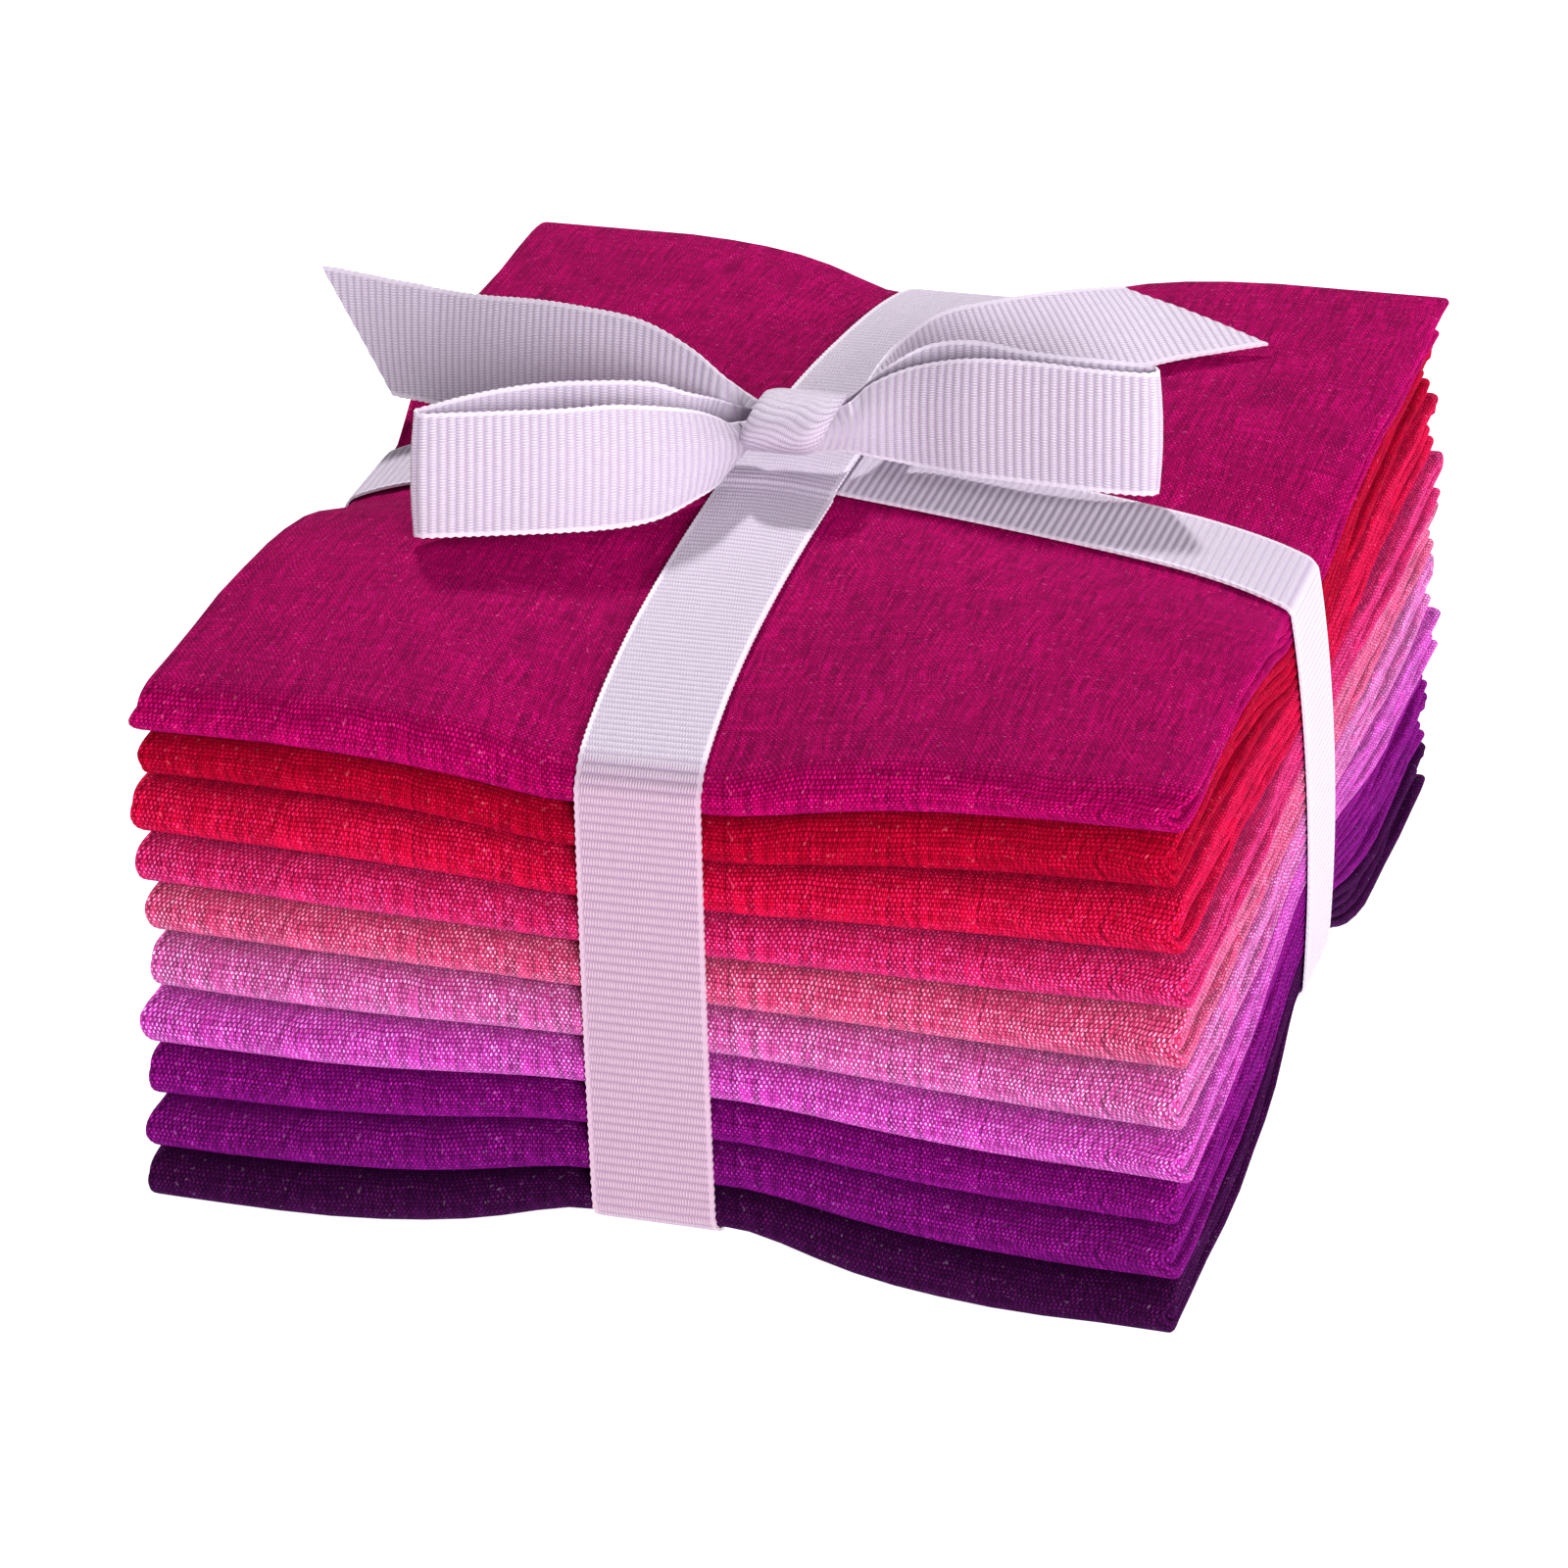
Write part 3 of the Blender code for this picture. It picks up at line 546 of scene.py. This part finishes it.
def ribbon_round(name, path, runs_back, bump_on_top):
    """The ribbon once round the stack, rising where it crosses the other turn."""

    def at(across, a, h):
        return place(across, a, h) if runs_back else place(a, across, h)

    line = at(0.0, path[:, 0], path[:, 1]) / MM
    rows, length = resampled(path, line, RIB / RIB_STEPS)
    rows, length = rows[:-1], length[:-1]
    a, h, way_a, way_h = (column[:, None] for column in rows.T)
    bumps = way_h > 0.9 if bump_on_top else way_h < -0.9
    over = np.clip((RIBBON_WIDTH / 2 + 2.6 - np.abs(a)) / 2.2, 0.0, 1.0)
    rise = np.where(bumps, CROSSING_RISE * over * over * (3 - 2 * over), 0.0)
    places, ribbed = ribbon_profile()
    rib = np.cos(2 * math.pi * length / RIB)[:, None]
    across = places + np.where(np.abs(places) > RIBBON_WIDTH / 2 - 0.01, 0.07 * np.sign(places) * rib, 0.0)
    low_wall, high_wall = ("front", "back") if runs_back else ("left", "right")
    wall = np.where(way_a > 0, WALL_LIFT[high_wall], WALL_LIFT[low_wall])
    grids = []
    for side in (1, -1):
        reach = blended(RIBBON_LIFT, wall, way_a**2) + rise + side * (RIBBON / 2 + RIB_DEPTH * ribbed * rib)
        grids.append(at(across, a + way_a * reach, h + way_h * reach))
    # Painted shade on the long-way ribbon's front face, darker and tinted pink as by light bounced off the
    # cloth.
    painted_front_shade = np.clip(-way_a, 0.0, 1.0) if runs_back else 0.0 * way_a
    facts = np.stack(np.broadcast_arrays(length[:, None], places[None, :], painted_front_shade), -1)
    return grid_mesh(name, *grids, facts, closed=True), length[-1] * MM


def smooth_rows(rows, steps=24):
    """Rows on a smooth curve through the given ones."""
    rows = np.array(rows, float)
    padded = np.concatenate((rows[:1], rows, rows[-1:]))
    t = (np.arange(steps) / steps)[:, None]
    found = []
    for k in range(len(rows) - 1):
        a, b, c, d = padded[k : k + 4]
        found.append(
            ((2 * b) + (c - a) * t + (2 * a - 5 * b + 4 * c - d) * t**2 + (3 * b - a - 3 * c + d) * t**3) / 2
        )
    return np.concatenate((*found, rows[-1:]))


def ribs_of(rows):
    """The ribs' lower ends, their ways up and their lengths, in mm."""
    x, y, rise, width, lean, turn = np.array(rows, float).T
    lean, turn = np.radians(lean), np.radians(turn)
    way = np.stack((-np.sin(turn) * np.sin(lean), np.cos(turn) * np.sin(lean), np.cos(lean)), -1)
    return np.stack((x, y, top_height(x, y) + rise), -1), way, width


def cut_off(piece, point, plane_normal):
    """Cuts away what lies past the plane, and closes the cut."""
    work = bmesh.new()
    work.from_mesh(piece.data)
    everything = [*work.verts, *work.edges, *work.faces]
    cut = bmesh.ops.bisect_plane(
        work, geom=everything, plane_co=point, plane_no=plane_normal, clear_outer=True
    )["geom_cut"]
    bmesh.ops.edgeloop_fill(work, edges=[part for part in cut if isinstance(part, bmesh.types.BMEdge)])
    work.to_mesh(piece.data)
    work.free()
    piece.data.set_sharp_from_angle(angle=math.radians(60))


def bow_strip(name, rows, bulge_out, cut=None):
    """A loop or a tail: the ribbon standing on its lower edge, and curved across where it is narrowed.

    bulge_out is 1 or -1, for the side of the strip that bulges. cut is the rib that a tail is cut off along.
    """
    low, way, width = ribs_of(smooth_rows(rows))
    table = np.concatenate((low, way, width[:, None]), -1)
    table, length = resampled(table, low + way * width[:, None] / 2, RIB / RIB_STEPS)
    low, way, width = table[:, :3], table[:, 3:6], table[:, 6:]
    way = way / np.linalg.norm(way, axis=1, keepdims=True)
    ahead = np.gradient(low + way * width / 2, axis=0)
    normal = np.cross(ahead, way)
    normal /= np.linalg.norm(normal, axis=1, keepdims=True)
    places, ribbed = ribbon_profile()
    rib = np.cos(2 * math.pi * length / RIB)[:, None]
    share = places / RIBBON_WIDTH + 0.5
    edge = np.abs(places) > RIBBON_WIDTH / 2 - 0.01
    share = share + np.where(edge, 0.005 * np.sign(places) * rib, 0.0)
    gathered = np.clip(1 - width / RIBBON_WIDTH, 0.0, 1.0)
    depth = 0.4 + gathered * np.linspace(2.2, 0.7, len(width))[:, None]
    bulge = bulge_out * np.sin(math.pi * np.clip(share, 0.0, 1.0)) * depth
    middle = low[:, None] + way[:, None] * (width * share)[..., None] + normal[:, None] * bulge[..., None]
    grids = []
    for side in (1, -1):
        reach = side * (RIBBON / 2 + RIB_DEPTH * ribbed * rib)
        grids.append((middle + normal[:, None] * reach[..., None]) * MM - SHIFT)
    facts = np.stack(np.broadcast_arrays(length[:, None], places[None, :], 0.0), -1)
    piece = grid_mesh(name, *grids, facts)
    if not cut:
        return piece, length[-1] * MM
    (cut_low,), (cut_way,), _ = ribs_of([cut])
    past = np.cross(normal[-1], cut_way)
    past *= np.sign(past @ ahead[-1])
    cut_off(piece, cut_low * MM - SHIFT, past)
    reached = (low + way * width / 2 - cut_low) @ past < 0
    return piece, length[reached].max() * MM


def knot(name):
    """The ribbon's turn round the middle of the bow: ribbed, its ends drawn in, its top leaning right."""
    girth = 2 * math.pi * math.sqrt((KNOT_HALF_DEPTH**2 + KNOT_HALF_HEIGHT**2) / 2)
    count = int(round(girth / RIB)) * RIB_STEPS
    length = np.arange(count) / RIB_STEPS * RIB
    angle = (2 * math.pi * np.arange(count) / count)[:, None]
    places = np.concatenate(([-0.93, -1.0], np.linspace(-0.97, 0.97, 17), [1.0, 0.93]))[None, :]
    rib = np.cos(2 * math.pi * length / RIB)[:, None]
    drawn = 1 - 0.16 * np.abs(places) ** 6
    drawn[:, [0, -1]] = 0.58
    drawn[:, [1, -2]] = 0.74
    slant = math.tan(math.radians(KNOT_SLANT))
    ripple = 0.05 * np.sin(5 * places + 2 * angle)
    twist = angle + 0.30 * places - 0.7 * np.maximum(0.0, places - 0.4) ** 2 + ripple
    grids = []
    for side in (1, -1):
        reach = side * (RIBBON / 2 + 0.8 * RIB_DEPTH * rib)
        depth = (KNOT_HALF_DEPTH * drawn + reach) * np.cos(twist) + 1.3 * np.maximum(0.0, places) ** 6
        height = (KNOT_HALF_HEIGHT * drawn + reach) * np.sin(twist)
        along = KNOT_HALF_LENGTH * places + slant * height
        grids.append((np.stack((along, depth, height), -1) + KNOT_CENTRE) * MM - SHIFT)
    facts = np.stack(np.broadcast_arrays(length[:, None], places * 5.5, 0.0), -1)
    return grid_mesh(name, *grids, facts, closed=True), girth * MM


class Tree:
    """A material's nodes, made one after another."""

    def __init__(self, name):
        self.material = bpy.data.materials.new(name)
        self.material.use_nodes = True
        self.nodes = self.material.node_tree.nodes
        self.links = self.material.node_tree.links
        self.shader = self.nodes["Principled BSDF"]

    def put(self, socket, value):
        if isinstance(value, bpy.types.NodeSocket):
            self.links.new(value, socket)
        else:
            socket.default_value = value

    def add(self, kind, values=(), output=0, **settings):
        node = self.nodes.new(kind)
        for key, value in settings.items():
            setattr(node, key, value)
        for key, value in dict(values).items():
            self.put(node.inputs[key], value)
        return node.outputs[output]

    def math(self, operation, *values):
        return self.add("ShaderNodeMath", dict(enumerate(values)), operation=operation)

    def vector(self, x, y, z=0.0):
        return self.add("ShaderNodeCombineXYZ", {"X": x, "Y": y, "Z": z})

    def noise(self, vector, scale=1.0, detail=2.0):
        return self.add("ShaderNodeTexNoise", {"Vector": vector, "Scale": scale, "Detail": detail})

    def spread(self, value, low, high, to_low=0.0, to_high=1.0):
        values = {"Value": value, "From Min": low, "From Max": high, "To Min": to_low, "To Max": to_high}
        return self.add("ShaderNodeMapRange", values)

    def mix(self, share, first, second, blend="MIX"):
        node = self.nodes.new("ShaderNodeMix")
        node.data_type = "RGBA"
        node.blend_type = blend
        self.put(node.inputs["Factor"], share)
        self.put(node.inputs[6], first)
        self.put(node.inputs[7], second)
        return node.outputs[2]

    def flat(self):
        """The place in the flat cloth, in mm, and for a ribbon how much painted shade, tinted pink as by
        light bounced off the cloth, its front face takes.
        """
        found = self.add("ShaderNodeAttribute", attribute_name="flat", output=1)
        split = self.nodes.new("ShaderNodeSeparateXYZ")
        self.links.new(found, split.inputs[0])
        return split.outputs


def grey(value):
    return (value, value, value, 1.0)


def cloth_material(name, long_thread, cross_thread, contrast):
    """A plain weave of two thread colours, with painted shade between the threads and painted highlights on
    their crowns, with slubs, unevenly dyed and with pale specks of lint.
    """
    tree = Tree(name)
    p, q, _ = tree.flat()
    drift = tree.noise(tree.vector(p, q), 0.12, 2.0)
    p = tree.math("MULTIPLY_ADD", drift, 1.6, p)
    q = tree.math("MULTIPLY_ADD", drift, -1.3, q)
    turn_p = tree.math("MULTIPLY", p, math.pi / THREAD)
    turn_q = tree.math("MULTIPLY", q, math.pi / LONG_THREAD)
    weave = tree.math("MULTIPLY", tree.math("SINE", turn_p), tree.math("SINE", turn_q))
    over = tree.spread(weave, -0.05, 0.55)
    crown = tree.math("POWER", tree.math("ABSOLUTE", weave), 0.5)
    along_p = tree.vector(tree.math("MULTIPLY", p, 2.6), tree.math("MULTIPLY", q, 0.12))
    along_q = tree.vector(tree.math("MULTIPLY", p, 0.12), tree.math("MULTIPLY", q, 2.6), 7.0)
    long_slub = tree.noise(along_p, 1.0, 3.0)
    cross_slub = tree.noise(along_q, 1.0, 3.0)
    dark = (*[c * blended(1.0, 0.4, contrast) for c in long_thread], 1)
    bright = (*[min(1.0, c * blended(1.0, 1.3, contrast)) for c in cross_thread], 1)
    long_colour = tree.mix(tree.spread(long_slub, 0.35, 0.65), dark, (*long_thread, 1))
    cross_colour = tree.mix(tree.spread(cross_slub, 0.35, 0.65), (*cross_thread, 1), bright)
    thick = tree.spread(tree.noise(tree.vector(p, q, 5.0), 1.1, 2.0), 0.36, 0.64, 0.25, 1.0)
    column = tree.math("FLOOR", tree.math("DIVIDE", p, THREAD))
    line = tree.math("FLOOR", tree.math("DIVIDE", q, LONG_THREAD))
    stitch = tree.add("ShaderNodeTexWhiteNoise", {"Vector": tree.vector(column, line)}, noise_dimensions="2D")
    thick = tree.math("MULTIPLY", thick, tree.spread(stitch, 0.0, 0.7, 0.3, 1.0))
    colour = tree.mix(tree.math("MULTIPLY", over, thick), long_colour, cross_colour)
    # Painted shade between the threads and painted highlights on their crowns.
    colour = tree.mix(
        0.9 * contrast, colour, tree.mix(crown, grey(0.2), grey(1.35)), blend="MULTIPLY"
    )
    fleck = tree.noise(tree.vector(p, q, 3.0), 1.9, 1.0)
    lint = tree.spread(fleck, 0.69, 0.77, 0.0, 0.4)
    colour = tree.mix(lint, colour, (*[min(1.0, 0.12 + 1.2 * c) for c in cross_thread], 1))
    streaks = tree.spread(tree.math("ADD", long_slub, cross_slub), 0.72, 1.28, 0.6, 1.4)
    colour = tree.mix(0.8, colour, tree.vector(streaks, streaks, streaks), blend="MULTIPLY")
    cloud = tree.noise(tree.vector(p, q, 11.0), 0.06, 3.0)
    colour = tree.mix(0.5, colour, tree.mix(cloud, grey(0.5), grey(1.5)), blend="MULTIPLY")
    tree.put(tree.shader.inputs["Base Color"], colour)
    height = tree.math("MULTIPLY_ADD", long_slub, 0.6, crown)
    bump = tree.add("ShaderNodeBump", {"Height": height, "Strength": 0.7, "Distance": 0.00012})
    tree.put(tree.shader.inputs["Normal"], bump)
    shader = tree.shader.inputs
    shader["Roughness"].default_value = 0.9
    shader["Specular IOR Level"].default_value = 0.02
    shader["Sheen Weight"].default_value = 0.5
    shader["Sheen Roughness"].default_value = 0.45
    red, green, blue = cross_thread
    shader["Sheen Tint"].default_value = (red, green, min(1.0, 1.4 * blue), 1)
    return tree.material


def ribbon_material():
    """Grosgrain: threads lying over each rib, painted shade between the ribs and between the threads with
    painted highlights on them, and a close pale edge.
    """
    tree = Tree("grosgrain_ribbon")
    along, across, painted_front_shade = tree.flat()
    rib_turn = tree.math("MULTIPLY", along, 2 * math.pi / RIB)
    crest = tree.math("MULTIPLY_ADD", tree.math("COSINE", rib_turn), 0.5, 0.5)
    drift = tree.noise(tree.vector(along, across), 0.5, 1.0)
    thread_turn = tree.math("MULTIPLY_ADD", drift, 3.0, tree.math("MULTIPLY", across, 2 * math.pi / 0.31))
    rib_number = tree.math("FLOOR", tree.math("MULTIPLY_ADD", along, 1 / RIB, 0.5))
    thread_turn = tree.math("MULTIPLY_ADD", rib_number, math.pi * 0.9, thread_turn)
    thread = tree.math("MULTIPLY_ADD", tree.math("SINE", thread_turn), 0.5, 0.5)
    edge = RIBBON_WIDTH / 2 - SELVAGE
    body = tree.spread(tree.math("ABSOLUTE", across), edge - 0.1, edge + 0.1, 1.0, 0.0)
    # Painted shade in the valleys between the ribs.
    valley = tree.math("POWER", crest, 0.5)
    shade = tree.mix(valley, (0.68, 0.61, 0.71, 1), (1.04, 1.04, 1.04, 1))
    patch = tree.vector(tree.math("MULTIPLY", along, 1.3), tree.math("MULTIPLY", across, 0.9), 4.0)
    uneven = tree.noise(patch, 1.0, 3.0)
    # Painted shade between the fine threads across each rib, and a painted highlight on them.
    stroke = tree.mix(thread, (0.66, 0.61, 0.69, 1), (1.12, 1.12, 1.12, 1))
    stroke = tree.mix(tree.spread(uneven, 0.3, 0.7, 0.3, 1.0), (0.94, 0.93, 0.95, 1), stroke)
    ribbed = tree.mix(1.0, shade, stroke, blend="MULTIPLY")
    ribbed = tree.mix(body, (0.98, 0.97, 0.99, 1), ribbed)
    # The painted front shade: a darker, pinker base colour on the long-way ribbon's front face.
    base = tree.mix(painted_front_shade, (0.705, 0.625, 0.735, 1), (0.535, 0.365, 0.470, 1))
    colour = tree.mix(1.0, base, ribbed, blend="MULTIPLY")
    tree.put(tree.shader.inputs["Base Color"], colour)
    height = tree.math("MULTIPLY", tree.math("MULTIPLY", thread, valley), body)
    fine = tree.noise(tree.vector(along, across, 2.0), 6.0, 2.0)
    height = tree.math("MULTIPLY_ADD", fine, 0.5, height)
    bump = tree.add("ShaderNodeBump", {"Height": height, "Strength": 0.8, "Distance": 0.0001})
    tree.put(tree.shader.inputs["Normal"], bump)
    shader = tree.shader.inputs
    shader["Roughness"].default_value = 0.5
    shader["Specular IOR Level"].default_value = 0.35
    shader["Sheen Weight"].default_value = 0.1
    shader["Sheen Roughness"].default_value = 0.4
    return tree.material


def floor_material():
    tree = Tree("studio_floor")
    tree.shader.inputs["Base Color"].default_value = (0.5, 0.5, 0.5, 1)
    tree.shader.inputs["Emission Color"].default_value = (1, 1, 1, 1)
    tree.shader.inputs["Emission Strength"].default_value = 0.85
    tree.shader.inputs["Roughness"].default_value = 0.9
    tree.shader.inputs["Specular IOR Level"].default_value = 0.1
    return tree.material


def dressed(piece, node, made):
    """The piece stands for its CAD node."""
    piece.data.materials.append(made)
    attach(piece, "root")
    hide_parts(node)
    return piece


def make_camera():
    azimuth, elevation = math.radians(CAMERA_AZIMUTH), math.radians(CAMERA_ELEVATION)
    level = math.cos(elevation)
    back = Vector((math.sin(azimuth) * level, -math.cos(azimuth) * level, math.sin(elevation)))
    right = Vector((math.cos(azimuth), math.sin(azimuth), 0.0))
    up = back.cross(right)
    eye = right * CAMERA_SIDE + Vector((0, 0, CAMERA_HEIGHT)) + back * CAMERA_DISTANCE - Vector(SHIFT)
    data = bpy.data.cameras.new("camera")
    data.sensor_width = SENSOR
    data.lens = FOCAL_PIXELS / PHOTO_PIXELS * SENSOR
    data.clip_start = 0.05
    camera = bpy.data.objects.new("camera", data)
    camera.matrix_world = Matrix.Translation(eye) @ Matrix((right, up, back)).transposed().to_4x4()
    bpy.context.scene.collection.objects.link(camera)
    bpy.context.scene.camera = camera


def area_light(name, place, size, power, colour=(1, 1, 1)):
    data = bpy.data.lights.new(name, "AREA")
    data.shape = "DISK"
    data.size = size
    data.energy = power
    data.color = colour
    light = bpy.data.objects.new(name, data)
    light.location = place
    light.rotation_euler = (Vector((0, 0, 0.03)) - Vector(place)).to_track_quat("-Z", "Y").to_euler()
    bpy.context.scene.collection.objects.link(light)


def studio():
    mesh = bpy.data.meshes.new("studio_floor")
    half = 6.0
    corners = [(-half, -half, 0), (half, -half, 0), (half, half, 0), (-half, half, 0)]
    mesh.from_pydata(corners, [], [(0, 1, 2, 3)])
    floor = bpy.data.objects.new("studio_floor", mesh)
    mesh.materials.append(floor_material())
    bpy.context.scene.collection.objects.link(floor)
    world = bpy.data.worlds.new("studio")
    world.use_nodes = True
    world.node_tree.nodes["Background"].inputs["Color"].default_value = (1, 1, 1, 1)
    world.node_tree.nodes["Background"].inputs["Strength"].default_value = 0.27
    bpy.context.scene.world = world
    area_light("key_back_left", (-0.40, 0.83, 0.77), 0.09, 13.0)
    area_light("front_fill", (0.55, -0.95, 0.35), 0.5, 13.0)
    area_light("right_fill", (1.1, 0.1, 0.3), 0.7, 7.5)
    bpy.context.scene.view_settings.view_transform = "Standard"


fabrics = [dict(zip(FABRIC_COLUMNS, row)) for row in FABRICS]
for side in ("left_height", "right_height"):
    total = sum(row[side] for row in fabrics)
    for row in fabrics:
        row[side] *= STACK_HEIGHT / total

make_camera()
studio()
for key, row in enumerate(fabrics):
    name = row["node"]
    piece = dressed(fat_quarter(key), name, cloth_material("cloth_" + name[12:], *THREADS[name]))

grosgrain = ribbon_material()
LONG_RADII, CROSS_RADII = (3.0, 3.0, 0.7, 1.4), (0.7, 0.7, 0.7, 0.7)
ribbon_pieces = {
    "ribbon_long_way": ribbon_round("grosgrain_long_way", wrap_path(HALF_DEPTH, LONG_RADII), True, True),
    "ribbon_cross_way": ribbon_round("grosgrain_cross_way", wrap_path(HALF_WIDTH, CROSS_RADII), False, False),
    "bow_knot": knot("grosgrain_knot"),
    "bow_loop_left": bow_strip("grosgrain_loop_left", LEFT_LOOP, -1),
    "bow_loop_right": bow_strip("grosgrain_loop_right", RIGHT_LOOP, 1),
    "bow_tail_left": bow_strip("grosgrain_tail_left", LEFT_TAIL, -1, LEFT_CUT),
    "bow_tail_right": bow_strip("grosgrain_tail_right", RIGHT_TAIL, 1, RIGHT_CUT),
}
for node, (piece, length) in ribbon_pieces.items():
    dressed(piece, node, grosgrain)
